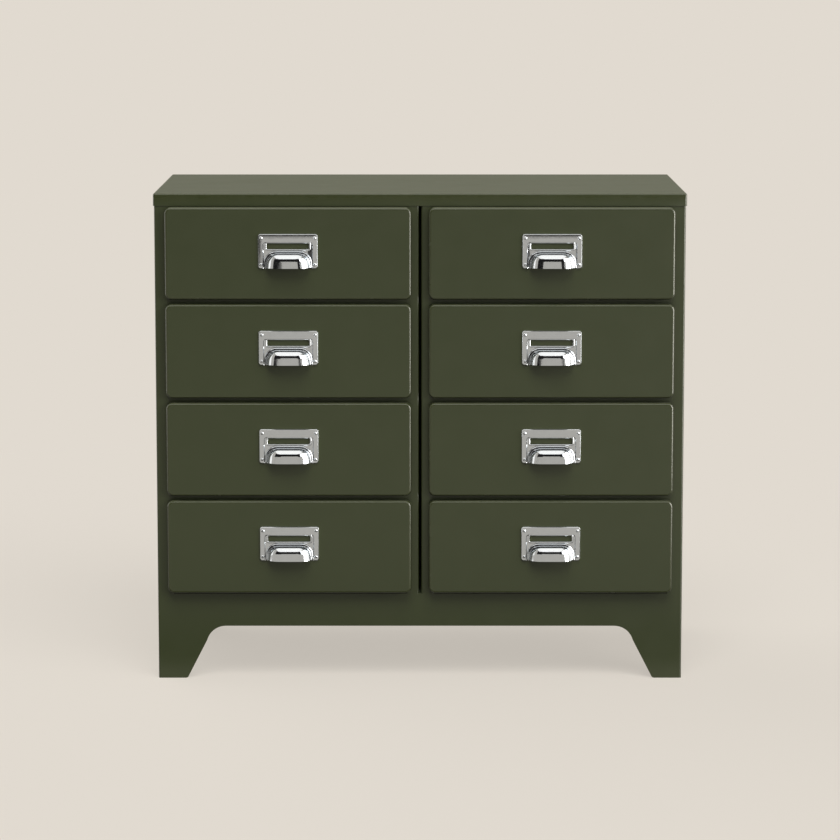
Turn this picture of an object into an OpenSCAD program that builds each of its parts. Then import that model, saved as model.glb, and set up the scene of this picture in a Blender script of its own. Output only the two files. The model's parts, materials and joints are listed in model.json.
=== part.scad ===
// Two-column steel drawer cabinet: a folded sheet carcass on an arched plinth, with eight
// folded-pan drawers that hang by their rims in channel runners and open with cup handles.
//
// Frame: X to the right, Y to the back, Z up, in millimetres. The origin is the middle of the
// footprint on the floor. Each side is drawn as the right-hand column and mirrored for the left.

/* [Carcass] */
// Width of the carcass
body_w = 700; // [690:5:720]
// Depth of the carcass, from the face frame to the back sheet
body_d = 350; // [350:5:400]
// Height of the cabinet, from the floor to the top surface
body_h = 650; // [640:5:720]
// Thickness of the carcass sheet
sheet = 1; // [0.8:0.1:1.2]
// Outer radius of the carcass bends
bend_r = 2.5; // [2.2:0.1:3]

/* [Top cap] */
// How far the cap reaches past the carcass on every side
cap_over = 1.2; // [1.2:0.1:2]
// Height of the turned-down lip
cap_lip = 16.5; // [12:0.5:20]
// Outer radius of the cap's bends
cap_r = 3; // [2.8:0.1:3.2]

/* [Plinth] */
// Height of the plinth
plinth_h = 115; // [105:1:120]
// Height of the arch between the feet
arch_h = 71; // [60:1:80]
// Width of a foot where it meets the floor
foot_w = 38.8; // [36:0.2:50]
// How far a foot widens for each millimetre of height
foot_slope = 0.5; // [0.3:0.05:0.6]
// Radius between the arch and the foot
arch_r = 26; // [10:1:30]
// Radius of the toe of a foot
toe_r = 4.5; // [3:0.5:6]
// How far the plinth wraps round the corner
plinth_return = 20; // [18:1:26]

/* [Face frame] */
// Gap between the two columns
slit_w = 3; // [2:0.5:4]
// Width of the stile beside the gap
inner_stile = 17.25; // [17:0.25:18.5]
// Width of the stile at the outside
outer_stile = 21.75; // [21:0.25:22.5]
// Height of a cross rail
rail_h = 19.5; // [18:0.5:21]
// Depth of the returns behind the face frame
frame_return = 12; // [10:1:12]

/* [Drawers] */
// How far a drawer front laps over the stile at each side
front_lap = 7.05; // [6.45:0.1:7.25]
// Gap between one front and the next
front_gap = 6.5; // [5:0.5:8]
// How much shorter the fronts of the top row are
top_trim = 3.2; // [0:0.2:5]
// How far a drawer front stands in front of the face frame
front_proud = 16; // [14:0.5:20]
// Radius of a front's corners
front_corner_r = 8; // [6:0.5:12]
// Outer radius of a front's folded edges
front_edge_r = 3; // [2:0.25:4]
// Width of the flange folded in behind a front
front_flange = 22; // [22:0.5:24]
// Thickness of the drawer sheet
drawer_sheet = 0.8; // [0.6:0.1:1]
// Room for a runner at each side of a tray
runner_room = 11; // [10.75:0.25:11.75]
// Room behind a tray, measured to the rear of the cabinet
tray_rear_room = 25; // [25:1:50]
// Height of a tray
tray_h = 95; // [94:0.5:96]
// Width of the rim that hangs in the runners
rim_w = 9; // [8:0.5:9]
// How much of a drawer's depth stays in the cabinet when it is open
kept_in = 100; // [100:5:150]

/* [Handles] */
// Width of the handle plate
plate_w = 78.5; // [76:0.5:84]
// Height of the handle plate
plate_h = 45.6; // [45:0.2:48]
// Distance from the top of a front to the top of its plate
plate_drop = 34.2; // [28:0.2:40]
// How far the cup stands in front of the drawer front
cup_out = 18.5; // [17:0.5:22]
// Width of the cup
cup_w = 65; // [64:0.5:65]
// Height of the cup
cup_h = 22.3; // [22:0.1:22.8]

/* [Hidden] */
$fn = 64;
rows = 4;
SIDES = ["left", "right"];
DRAWER_PIECES = ["front", "tray", "handle", "rivets", "glides"];
CABINET_PIECES = [
    "top_panel", "left_side_panel", "right_side_panel", "left_divider_panel", "right_divider_panel",
    "back_panel", "base_panel", "front_plinth", "rear_plinth", "left_cross_rails", "right_cross_rails",
    "head_rails", "sill_rails", "left_runners", "right_runners", "runner_pads", "drawer_bumpers",
    "foot_glides", "back_rivets"
];

green = "#3f4330";
steel = "#8f918c";
bright = "#c9cac8";
nylon = "#dcdcd6";
rubber = "#222220";

eps = 0.5;              // overshoot of a cut past the face that it opens
tuck = 0.98;            // a corner's points lie this share of its radius out, inside its round
cap_clear = 0.2;        // play between the cap's lip and the carcass
hole_clear = 0.1;       // play round a rivet shank

// Carcass
half_w = body_w / 2;
frame_y = (front_proud + cup_out - body_d - cap_over) / 2;   // the plane of the face frame
back_y = frame_y + body_d;
cap_under = body_h - sheet;                                  // underside of the cap's sheet
wall_top = cap_under - bend_r;                               // where the walls begin to fold in
wall_d = body_d - sheet;                                     // the walls stop at the back sheet
top_flange = 12;                                             // width of a wall's flange on top
flange_front = 4;                                            // the flange stops short at both ends
flange_rear = 30;
base_hem = 13;                                               // height of the base sheet's hems

// Feet: the inner edge of a foot leans outwards, and is round at the arch and at the toe
arch_k = sqrt(1 + foot_slope * foot_slope);
arch_normal = [1, foot_slope] / arch_k;
function foot_edge(half, height) = half - foot_w - foot_slope * height;
function toe_at(half) = [foot_edge(half, toe_r) + toe_r * arch_k, toe_r];
function shoulder_at(half) =
    [foot_edge(half, arch_h - arch_r) - arch_r * arch_k, arch_h - arch_r];

// Columns: an opening between two stiles, with its middle at column_x
opening_w = (body_w - slit_w) / 2 - inner_stile - outer_stile;
opening_half = opening_w / 2;
column_x = slit_w / 2 + inner_stile + opening_half;

// Drawer rows, counted from the top
front_w = opening_w + 2 * front_lap;
front_top = body_h - cap_lip - 1.2;
front_bottom = plinth_h + 3.4;
row_pitch = (front_top - front_bottom + top_trim + front_gap) / rows;
rail_lap = (rail_h - front_gap) / 2;                         // how far a front laps over a rail
function row_bottom(row) = front_top + top_trim + front_gap - row * row_pitch;
function row_top(row) = row == 1 ? front_top : row_bottom(row) + row_pitch - front_gap;
frame_gap = 0.8;                                             // a bumper's thickness
pan_d = front_proud - frame_gap;

// Trays and runners
tray_w = opening_w - 2 * runner_room;
tray_half = tray_w / 2;
tray_d = body_d - tray_rear_room;
travel = body_d - kept_in;
tray_lift = 11.5;                                            // from a front's bottom to its tray's
runner_sheet = 1.2;
runner_gap = 1.5;                                            // play between a runner and a tray
runner_clear_h = 12;                                         // inner height of a runner channel
glide_t = 2;                                                 // nylon under the rim
glide_play = 0.6;
runner_y = frame_y + frame_return + 1;
runner_len = body_d - frame_return - 6;
pad_len = 14;
glide_len = 40;
glide_y = frame_y + frame_return + pad_len + 4 + travel;
glide_in = tray_half + 2.25;
glide_out = tray_half + rim_w + 5.25;
function rim_z(row) = row_bottom(row) + tray_lift + tray_h;
function shelf_z(row) = rim_z(row) - drawer_sheet - glide_t;

// Handles
plate_t = 1.2;
border_t = 2.6;                    // height of the raised border
border_side = 7;
border_top = 8.7;
plate_corner_r = 3.4;
bead_t = 2;                        // height of the bead round the window and the cup
window_half = 27.9;
window_bottom = 2.8;
window_top = 10.6;
window_r = 2.5;
window_bead = 1.6;
cup_top = 0.6;                     // above the middle of the plate
cup_corner_r = 17;
cup_shell = 1.2;
cup_half = cup_w / 2;
rivet_x = 35.2;
rivet_z = 17.5;
rivet_shank_r = 1.2;
rivet_head_r = 1.8;
rivet_head_h = 1.1;

// Rubber blocks in the feet
foot_block = 30;
foot_block_h = 12;

// Rivets of the back sheet
back_rivet_r = 2;
back_rivet_head_r = 4;
back_rivet_head_h = 1.1;
back_rivet_rows = 6;
back_rivet_low = 35;                // from the plinth to the lowest rivet
back_rivet_high = 40;               // from the highest rivet to the top
back_rivet_first = plinth_h + back_rivet_low;
back_rivet_last = body_h - back_rivet_high;
back_rivet_in = [9, 10];            // from the gap and from the side
back_rivet_x = [slit_w / 2 + back_rivet_in[0], half_w - back_rivet_in[1]];

function drawer_node(side, row, piece) = str(side, "_drawer_", row, "_", piece);
function handle_z(row) = row_top(row) - plate_drop - plate_h / 2;

// ---------------------------------------------------------------- shared shapes

module on_side(side) {
    if (side == "left") mirror([1, 0, 0]) children();
    else children();
}

// A flat rectangle between two corners, with rounded corners
module round_rect(low, high, r) {
    size = high - low;
    translate(low + [r, 0]) square([size.x - 2 * r, size.y]);
    translate(low + [0, r]) square([size.x, size.y - 2 * r]);
    for (x = [low.x + r, high.x - r], y = [low.y + r, high.y - r])
        translate([x, y]) circle(r);
}

// The outline of folded sheet: a rounded rectangle less the same one a thickness smaller
module folded_ring(low, high, r, t) {
    difference() {
        round_rect(low, high, r);
        round_rect(low + [t, t], high - [t, t], r - t);
    }
}

// Draws an outline of the X-Z plane, and gives it a thickness towards the back
module standing(y, thickness) {
    translate([0, y + thickness, 0]) rotate([90, 0, 0]) linear_extrude(thickness) children();
}

// Draws an outline of the Y-Z plane, and gives it a length along X
module lengthways(x, length) {
    translate([x, 0, 0]) rotate([90, 0, 90]) linear_extrude(length) children();
}

// A sheet outline with the space between two feet cut out, for a side of the given half width
module arched(half, middle) {
    shoulder = shoulder_at(half);
    toe = toe_at(half);
    right = [
        [toe.x, -eps], [toe.x, 0], toe - tuck * toe_r * arch_normal,
        shoulder + tuck * arch_r * arch_normal, [shoulder.x, arch_h]
    ];
    left = [for (i = [len(right) - 1 : -1 : 0]) [-right[i].x, right[i].y]];
    difference() {
        children();
        translate([middle, 0]) {
            polygon(concat(right, left));
            for (side = [-1, 1]) translate([side * shoulder.x, shoulder.y]) circle(arch_r);
        }
    }
    for (side = [-1, 1]) translate([middle + side * toe.x, toe.y]) circle(toe_r);
}

module back_rivet_places() {
    step = (back_rivet_last - back_rivet_first) / (back_rivet_rows - 1);
    for (side = SIDES) on_side(side)
        for (x = back_rivet_x, i = [0 : back_rivet_rows - 1])
            translate([x, back_y, back_rivet_first + i * step]) rotate([-90, 0, 0]) children();
}

module back_rivet_holes() {
    back_rivet_places() cylinder(r = back_rivet_r + hole_clear, h = 8, center = true);
}

// ---------------------------------------------------------------- carcass

// The cap: a shallow pan upside down, its lip turned down on all four sides
module top_panel() {
    outer = [half_w + cap_over, body_d / 2 + cap_over];
    mid_y = frame_y + body_d / 2;
    color(green) translate([0, mid_y, 0]) difference() {
        cap_block(outer, body_h, cap_r);
        cap_block(outer - [sheet, sheet], cap_under, cap_r - sheet);
        translate([0, 0, body_h - cap_lip - 10]) cube([body_w * 2, body_d * 2, 20], center = true);
    }
}

// A block that reaches up to the height given, with its upright and upper edges rounded
module cap_block(half, top, r) {
    flat = half - [r, r];
    depth = cap_lip + 5;
    translate([0, 0, top - depth]) linear_extrude(depth - r) round_rect(-half, half, r);
    translate([-flat.x, -flat.y, top - r]) cube([flat.x * 2, flat.y * 2, r]);
    for (side = [-1, 1]) {
        translate([0, side * flat.y, top - r]) rotate([0, 90, 0])
            cylinder(r = r, h = flat.x * 2, center = true);
        translate([side * flat.x, 0, top - r]) rotate([90, 0, 0])
            cylinder(r = r, h = flat.y * 2, center = true);
        for (end = [-1, 1]) translate([side * flat.x, end * flat.y, top - r]) sphere(r);
    }
}

// An upright wall with its stile, return and rear flange, in one folded sheet. It is drawn with
// its outer face at x = 0 and folds towards +X.
module wall(stile_w) {
    translate([0, frame_y, plinth_h]) linear_extrude(wall_top - plinth_h) difference() {
        folded_ring([0, 0], [stile_w, wall_d], bend_r, sheet);
        translate([stile_w - sheet - eps, frame_return]) square([sheet + 2 * eps, wall_d]);
    }
    flange_y = frame_y + frame_return + flange_front;
    flange_len = wall_d - frame_return - flange_rear;
    reach = top_flange * 2;
    standing(flange_y, flange_len) difference() {
        folded_ring([0, cap_under - reach], [reach, cap_under], bend_r, sheet);
        translate([-eps, 0]) square([reach + 2 * eps, wall_top - bend_r]);
        translate([top_flange, 0]) square([reach, body_h]);
    }
}

module side_panel(side) {
    color(green) on_side(side) difference() {
        union() {
            translate([half_w, 0, 0]) mirror([1, 0, 0]) wall(outer_stile);
            side_skirt();
        }
        back_rivet_holes();
    }
}

// The part of a side below the drawers, between the front plinth and the rear one. It runs up
// into the sheet of the wall.
module side_skirt() {
    length = body_d - 2 * plinth_return;
    lengthways(half_w - sheet, sheet) arched(body_d / 2, frame_y + body_d / 2)
        translate([frame_y + plinth_return, 0]) square([length, plinth_h + bend_r]);
}

module divider_panel(side) {
    color(green) on_side(side) difference() {
        translate([slit_w / 2, 0, 0]) wall(inner_stile);
        back_rivet_holes();
    }
}

module back_panel() {
    panel_half = half_w - bend_r - 0.5;
    color(green) difference() {
        translate([-panel_half, back_y - sheet, plinth_h])
            cube([panel_half * 2, sheet, wall_top - plinth_h]);
        back_rivet_holes();
    }
}

module base_panel() {
    floor_half = half_w - sheet;
    length = body_d - 2 * plinth_return;
    color(green) standing(frame_y + plinth_return, length) {
        translate([-floor_half, plinth_h - sheet]) square([floor_half * 2, sheet]);
        for (x = [-floor_half, floor_half - sheet])
            translate([x, plinth_h - base_hem]) square([sheet, base_hem]);
    }
}

// A plinth in one sheet: the arched face, the wraps round both corners and the flange on top.
// It is drawn for the front.
module plinth() {
    face_half = half_w - bend_r;
    translate([0, frame_y, 0]) {
        linear_extrude(plinth_h) difference() {
            folded_ring([-half_w, 0], [half_w, plinth_return * 2], bend_r, sheet);
            translate([-body_w, plinth_return]) square([body_w * 2, plinth_return * 2]);
            translate([-face_half, -eps]) square([face_half * 2, sheet + 2 * eps]);
        }
        translate([0, 0, plinth_h - sheet]) linear_extrude(sheet) intersection() {
            round_rect([-half_w, 0], [half_w, plinth_return * 2], bend_r);
            translate([-body_w, 0]) square([body_w * 2, plinth_return]);
        }
    }
    standing(frame_y, sheet) arched(half_w, 0)
        translate([-face_half, 0]) square([face_half * 2, plinth_h]);
}

module front_plinth() {
    color(green) plinth();
}

module rear_plinth() {
    color(green) translate([0, frame_y + back_y, 0]) mirror([0, 1, 0]) plinth();
}

// A channel across one column between the stiles, open to the back
module rail(bottom, top) {
    lengthways(column_x - opening_half, opening_w) translate([frame_y, 0]) difference() {
        folded_ring([0, bottom], [frame_return * 2, top], 2, sheet);
        translate([frame_return, bottom - eps]) square([frame_return * 2, top - bottom + 2 * eps]);
    }
}

module cross_rails(side) {
    color(green) on_side(side) for (row = [1 : rows - 1])
        rail(row_bottom(row) - front_gap - rail_lap, row_bottom(row) + rail_lap);
}

module head_rails() {
    color(green) for (side = SIDES) on_side(side) rail(front_top - rail_lap, cap_under);
}

module sill_rails() {
    color(green) for (side = SIDES) on_side(side) rail(plinth_h, front_bottom + rail_lap);
}

// ---------------------------------------------------------------- runners and small parts

// A runner channel on the wall at wall_x, open towards the middle of the column
module runner(row, wall_x) {
    inward = column_x > wall_x ? 1 : -1;
    depth = abs(column_x - wall_x) - tray_half - runner_gap;
    low = shelf_z(row) - runner_sheet;
    high = shelf_z(row) + runner_clear_h + runner_sheet;
    translate([wall_x, 0, 0]) mirror([inward == 1 ? 0 : 1, 0, 0])
        standing(runner_y, runner_len) difference() {
            folded_ring([0, low], [depth + 10, high], 2, runner_sheet);
            translate([depth, low - eps]) square([20, high - low + 2 * eps]);
        }
}

module runners(side) {
    color(steel) on_side(side) for (row = [1 : rows], wall_x = [slit_w / 2 + sheet, half_w - sheet])
        runner(row, wall_x);
}

// The nylon pads at the mouths of the runners, which carry the rims and stop the glides
module runner_pads() {
    width = rim_w - 2.6;
    color(nylon) for (side = SIDES) on_side(side)
        for (row = [1 : rows], end = [-1, 1])
            translate([column_x + end * (glide_in + width / 2), runner_y + 1, shelf_z(row)])
                translate([-width / 2, 0, 0]) cube([width, pad_len, glide_t]);
}

module drawer_bumpers() {
    x = opening_half + 3.5;
    color(rubber) for (side = SIDES) on_side(side)
        for (row = [1 : rows], end = [-1, 1])
            translate([column_x + end * x, frame_y, (row_bottom(row) + row_top(row)) / 2])
                rotate([90, 0, 0]) cylinder(r = 3, h = frame_gap);
}

module foot_glides() {
    color(rubber) for (side = SIDES) on_side(side)
        for (y = [frame_y + sheet, back_y - sheet - foot_block])
            translate([half_w - sheet, y, 0]) linear_extrude(foot_block_h)
                round_rect([-foot_block, 0], [0, foot_block], bend_r - sheet + 0.3);
}

// A rivet along +Z: a domed head above z = 0 and a shank below it
module domed_rivet(head_r, head_h, shank_r, shank_len) {
    dome_r = (head_r * head_r + head_h * head_h) / (2 * head_h);
    intersection() {
        translate([0, 0, head_h - dome_r]) sphere(dome_r);
        cylinder(r = head_r, h = head_h * 2);
    }
    translate([0, 0, -shank_len]) cylinder(r = shank_r, h = shank_len + head_h / 2);
}

module back_rivets() {
    color(steel) back_rivet_places()
        domed_rivet(back_rivet_head_r, back_rivet_head_h, back_rivet_r, sheet * 2 + 2);
}

// ---------------------------------------------------------------- drawers

// The section of a front's folded edge: n runs in from the edge, d back from the face
module edge_section(reach, depth, r) {
    difference() {
        edge_outline(reach, depth, r);
        translate([drawer_sheet, drawer_sheet])
            edge_outline(reach, depth - 2 * drawer_sheet, r - drawer_sheet);
    }
}

module edge_outline(reach, depth, r) {
    translate([r, 0]) square([reach - r, depth]);
    translate([0, r]) square([r, depth - 2 * r]);
    for (d = [r, depth - r]) translate([r, d]) circle(r);
}

// A front in one sheet: the face, the folded edges and the flange behind. It is drawn lying down,
// with its face at z = 0 and its depth along +Z.
module front_pan(w, h) {
    r = front_corner_r;
    flat = [w - 2 * r, h - 2 * r];
    for (half = [0, 1]) rotate([0, 0, half * 180]) {
        translate([w / 2, 0, 0]) rotate([90, 0, 0]) linear_extrude(flat.y, center = true)
            mirror([1, 0]) edge_section(r, pan_d, front_edge_r);
        rotate([0, 0, 90]) translate([h / 2, 0, 0]) rotate([90, 0, 0])
            linear_extrude(flat.x, center = true) mirror([1, 0]) edge_section(r, pan_d, front_edge_r);
    }
    for (sx = [0, 1], sy = [0, 1]) mirror([sx, 0, 0]) mirror([0, sy, 0])
        translate([flat.x / 2, flat.y / 2, 0]) rotate_extrude(angle = 90)
            intersection() {
                translate([r, 0]) mirror([1, 0]) edge_section(r, pan_d, front_edge_r);
                square([r, pan_d]);
            }
    linear_extrude(drawer_sheet) square(flat, center = true);
    translate([0, 0, pan_d - drawer_sheet]) linear_extrude(drawer_sheet) difference() {
        square(flat, center = true);
        square([w - 2 * front_flange, h - 2 * front_flange], center = true);
    }
}

module drawer_front(side, row) {
    height = row_top(row) - row_bottom(row);
    middle = (row_top(row) + row_bottom(row)) / 2;
    color(green) on_side(side) difference() {
        translate([column_x, frame_y - front_proud, middle])
            mirror([0, 1, 0]) rotate([90, 0, 0]) front_pan(front_w, height);
        handle_place(row) rivet_places() cylinder(r = rivet_shank_r + hole_clear, h = 8, center = true);
    }
}

// A tray in one sheet, with the rims at both sides that hang in the runners
module drawer_tray(side, row) {
    low = row_bottom(row) + tray_lift;
    high = rim_z(row);
    t = drawer_sheet;
    color(green) on_side(side) translate([column_x, 0, 0]) {
        standing(frame_y - frame_gap, tray_d) difference() {
            folded_ring([-tray_half, low], [tray_half, high + 20], 2, t);
            translate([-tray_w, high]) square([tray_w * 2, 40]);
        }
        for (y = [frame_y - frame_gap, frame_y - frame_gap + tray_d - t])
            translate([-tray_half + t / 2, y, low + t / 2]) cube([tray_w - t, t, tray_h - t / 2]);
        for (x = [-tray_half - rim_w, tray_half - t])
            translate([x, frame_y, high - t]) cube([rim_w + t, tray_d - frame_gap, t]);
    }
}

// The nylon glides on the rear of the rims, which keep the drawer level when it is open
module drawer_glides(side, row) {
    high = shelf_z(row) + runner_clear_h - glide_play;
    size = [glide_out - glide_in, glide_len, high - shelf_z(row)];
    color(nylon) on_side(side) for (end = [0, 1])
        translate([column_x, 0, 0]) mirror([end, 0, 0]) difference() {
            translate([glide_in, glide_y, shelf_z(row)]) cube(size);
            translate([0, glide_y - eps, rim_z(row) - drawer_sheet])
                cube([tray_half + rim_w, glide_len + 2 * eps, drawer_sheet]);
        }
}

// Puts a shape drawn in the handle's own frame (X across, Y up, Z out of the front) on its drawer
module handle_place(row) {
    translate([column_x, frame_y - front_proud, handle_z(row)]) rotate([90, 0, 0]) children();
}

module rivet_places() {
    for (x = [-rivet_x, rivet_x], y = [-rivet_z, rivet_z]) translate([x, y, 0]) children();
}

// The cup as a solid, shrunk by a shell thickness for its inside: the front outline, the side
// outline and the plan outline are crossed with each other
module cup_solid(shrink) {
    top = cup_top - shrink;
    bottom = cup_top - cup_h - (shrink > 0 ? eps : 0);
    half = cup_half - shrink;
    out = cup_out - shrink;
    low = shrink > 0 ? -eps : 0;
    side_outline = [
        [bottom, low], [top, low], [top, bead_t - shrink], [top - 3.2, bead_t + 0.4],
        [top - 4.2, out * 0.76], [top - 7.6, out * 0.91], [top - 11.6, out], [bottom, out]
    ];
    plan_right = [
        [half, low], [half, bead_t - shrink], [half - 4, bead_t + 0.4], [half - 6.2, out * 0.58],
        [half - 10, out * 0.76], [half - 14.6, out * 0.91], [half - 20, out]
    ];
    plan_left = [for (i = [len(plan_right) - 1 : -1 : 0]) [-plan_right[i].x, plan_right[i].y]];
    r = cup_corner_r - shrink;
    intersection() {
        translate([0, 0, low]) linear_extrude(out - low) union() {
            translate([-half, bottom]) square([half * 2, top - r - bottom]);
            translate([r - half, top - r]) square([2 * (half - r), r]);
            intersection() {
                for (x = [r - half, half - r]) translate([x, top - r]) circle(r);
                translate([-half, top - r - eps]) square([half * 2, r + eps]);
            }
        }
        rotate([90, 0, 90]) linear_extrude(cup_w * 2, center = true) polygon(side_outline);
        rotate([90, 0, 0]) linear_extrude(cup_w * 2, center = true)
            polygon(concat(plan_right, plan_left));
    }
}

// The stamped plate with its raised border, window and cup
module handle_shape() {
    plate = [plate_w, plate_h] / 2;
    recess_half = plate.x - border_side;
    window_low = [-window_half, window_bottom];
    window_high = [window_half, window_top];
    bead = [window_bead, window_bead];
    difference() {
        union() {
            linear_extrude(plate_t) round_rect(-plate, plate, plate_corner_r);
            linear_extrude(border_t) difference() {
                round_rect(-plate, plate, plate_corner_r);
                round_rect([-recess_half, -plate_h], [recess_half, plate.y - border_top], 3);
            }
            linear_extrude(bead_t) round_rect(window_low - bead, window_high + bead, window_r);
            cup_solid(0);
        }
        translate([0, 0, -eps]) linear_extrude(bead_t + 2 * eps)
            round_rect(window_low, window_high, window_r - 1);
        cup_solid(cup_shell);
        rivet_places() cylinder(r = rivet_shank_r + hole_clear, h = 20, center = true);
    }
}

module drawer_handle(side, row) {
    color(bright) on_side(side) handle_place(row) handle_shape();
}

// The four rivets of a handle, each clenched behind the front's sheet
module handle_rivets(side, row) {
    tail = 1;
    color(bright) on_side(side) handle_place(row) rivet_places() {
        translate([0, 0, border_t])
            domed_rivet(rivet_head_r, rivet_head_h, rivet_shank_r, border_t + drawer_sheet + tail / 2);
        translate([0, 0, -drawer_sheet - tail]) cylinder(r = rivet_head_r, h = tail);
    }
}

top_panel();
back_panel();
base_panel();
front_plinth();
rear_plinth();
head_rails();
sill_rails();
runner_pads();
drawer_bumpers();
foot_glides();
back_rivets();
for (side = SIDES) {
    side_panel(side);
    divider_panel(side);
    cross_rails(side);
    runners(side);
}
for (side = SIDES, row = [1 : rows]) {
    drawer_front(side, row);
    drawer_tray(side, row);
    drawer_handle(side, row);
    handle_rivets(side, row);
    drawer_glides(side, row);
}
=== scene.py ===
"""Looks of a two-column steel drawer cabinet, built round its packed construction.

Lengths are in metres, with X to the right, Y to the back and Z up. Sizes that the construction
sets are read from its boxes, and the others are written in millimetres times MM.
"""

import json
import logging
import math
from collections.abc import Callable, Sequence
from dataclasses import dataclass
from enum import Enum
from typing import ClassVar

import bmesh
import bpy
from mathutils import Matrix, Vector


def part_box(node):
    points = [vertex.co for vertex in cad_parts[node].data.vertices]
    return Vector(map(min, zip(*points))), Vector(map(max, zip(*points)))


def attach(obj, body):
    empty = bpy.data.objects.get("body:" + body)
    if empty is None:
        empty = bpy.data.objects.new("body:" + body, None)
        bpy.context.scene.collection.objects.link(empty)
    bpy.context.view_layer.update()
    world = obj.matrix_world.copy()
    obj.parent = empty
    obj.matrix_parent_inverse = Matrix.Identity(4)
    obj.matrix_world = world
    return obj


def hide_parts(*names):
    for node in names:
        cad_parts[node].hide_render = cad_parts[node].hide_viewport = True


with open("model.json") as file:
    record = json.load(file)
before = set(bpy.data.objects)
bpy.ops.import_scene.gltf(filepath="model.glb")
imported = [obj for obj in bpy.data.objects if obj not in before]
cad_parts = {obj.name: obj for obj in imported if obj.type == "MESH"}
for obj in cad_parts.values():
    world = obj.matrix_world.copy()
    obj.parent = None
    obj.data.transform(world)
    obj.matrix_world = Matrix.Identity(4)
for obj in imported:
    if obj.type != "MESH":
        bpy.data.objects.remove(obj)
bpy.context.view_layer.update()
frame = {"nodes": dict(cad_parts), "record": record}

MM = 0.001
CARCASS = "cabinet"  # the body that stands still
ROWS = (1, 2, 3, 4)  # the drawers of a column, from the top
LEAST_CORNER = 0.4 * MM  # an outline keeps its corners at least this round
SHARP = 32.0  # an edge that turns by more than these degrees is shaded as sharp
CARD_WHITE = "#fffaf4"
BLACK_FLAG = 0.02  # the glow of a black flag, where 1 is white
SQUARE = ((-1, -1), (1, -1), (1, 1), (-1, 1))
LOG = logging.getLogger("cabinet")

Point = tuple[float, float]
Place = Callable[[float, float, float], Vector]
Colour = tuple[float, float, float, float]
Ring = list[bmesh.types.BMVert]
Socket = bpy.types.NodeSocket


class Side(Enum):
    """The two columns of drawers."""

    LEFT = "left"
    RIGHT = "right"


class Slot(Enum):
    """The record's material slots."""

    OLIVE_PAINT = "olive_paint"
    BRIGHT_NICKEL = "bright_nickel"
    ZINC_STEEL = "zinc_steel"
    NYLON = "nylon"
    RUBBER = "rubber"


class Crossing(Enum):
    """What a solid does to the one that it crosses."""

    JOIN = "UNION"
    CUT = "DIFFERENCE"


def drawer_body(side: Side, row: int) -> str:
    """Returns the name of a drawer's body, such as left_drawer_1."""
    return f"{side.value}_drawer_{row}"


# ---------------------------------------------------------------------------- colour and nodes


def srgb(code: str) -> Colour:
    """Turns an sRGB hex colour to the linear colour that the shaders take.

    Args:
        code: The colour, such as "#3f4330".

    Returns:
        Red, green and blue in linear light, and an alpha of 1.
    """
    parts = [int(code[i : i + 2], 16) / 255 for i in (1, 3, 5)]
    linear = [
        part / 12.92 if part <= 0.04045 else ((part + 0.055) / 1.055) ** 2.4 for part in parts
    ]
    return (*linear, 1.0)


def add_node(
    tree: bpy.types.NodeTree,
    kind: str,
    settings: dict | None = None,
    links: dict | None = None,
) -> bpy.types.Node:
    """Adds one node to a tree, with its settings and the links into it.

    Args:
        tree: The node tree.
        kind: The node's type, such as "ShaderNodeTexNoise".
        settings: Values by the name or number of an input, or else by the node's own property.
        links: Output sockets by the name or the number of the input that they go to.

    Returns:
        The new node.
    """
    node = tree.nodes.new(kind)
    for name, value in (settings or {}).items():
        if isinstance(name, int) or name in node.inputs:
            node.inputs[name].default_value = value
        else:
            setattr(node, name, value)
    for name, output in (links or {}).items():
        tree.links.new(output, node.inputs[name])
    return node


def new_material(name: str) -> tuple[bpy.types.Material, bpy.types.NodeTree]:
    """Makes an empty node material.

    Args:
        name: The material's name.

    Returns:
        The material and its node tree, with no nodes in it.
    """
    material = bpy.data.materials.new(name)
    material.use_nodes = True
    material.node_tree.nodes.clear()
    return material, material.node_tree


# ---------------------------------------------------------------------------- finishes


def relief(
    tree: bpy.types.NodeTree,
    place: Socket,
    size_mm: float,
    depth_mm: float,
    detail: float,
    under: Socket | None = None,
) -> Socket:
    """Raises a surface in soft bumps.

    Args:
        tree: The node tree.
        place: The coordinates that the bumps lie in.
        size_mm: The size of a bump across.
        depth_mm: Its depth.
        detail: How many finer layers the bumps have.
        under: The normal of a coarser relief that this one lies on.

    Returns:
        The new normal.
    """
    bumps = add_node(
        tree,
        "ShaderNodeTexNoise",
        {"Scale": 1 / (size_mm * MM), "Detail": detail},
        {"Vector": place},
    )
    links = {"Height": bumps.outputs["Fac"]}
    if under is not None:
        links["Normal"] = under
    settings = {"Distance": depth_mm * MM, "Strength": 1.0}
    return add_node(tree, "ShaderNodeBump", settings, links).outputs[0]


def patched(
    tree: bpy.types.NodeTree,
    place: Socket,
    film: Socket,
    colour: str,
    size_mm: float,
    detail: float,
    share: Socket,
) -> Socket:
    """Lays another colour over a film in soft patches.

    Args:
        tree: The node tree.
        place: The coordinates that the patches lie in.
        film: The colour underneath.
        colour: The sRGB colour of the patches.
        size_mm: The size of a patch.
        detail: How many finer layers the patches have.
        share: How much of it each place takes.

    Returns:
        The new colour.
    """
    patches = add_node(
        tree,
        "ShaderNodeTexNoise",
        {"Scale": 1 / (size_mm * MM), "Detail": detail},
        {"Vector": place},
    )
    links = {0: share, 1: patches.outputs["Fac"]}
    amount = add_node(tree, "ShaderNodeMath", {"operation": "MULTIPLY"}, links).outputs[0]
    settings = {"data_type": "RGBA", 7: srgb(colour)}
    return add_node(tree, "ShaderNodeMix", settings, {0: amount, 6: film}).outputs[2]


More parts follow.
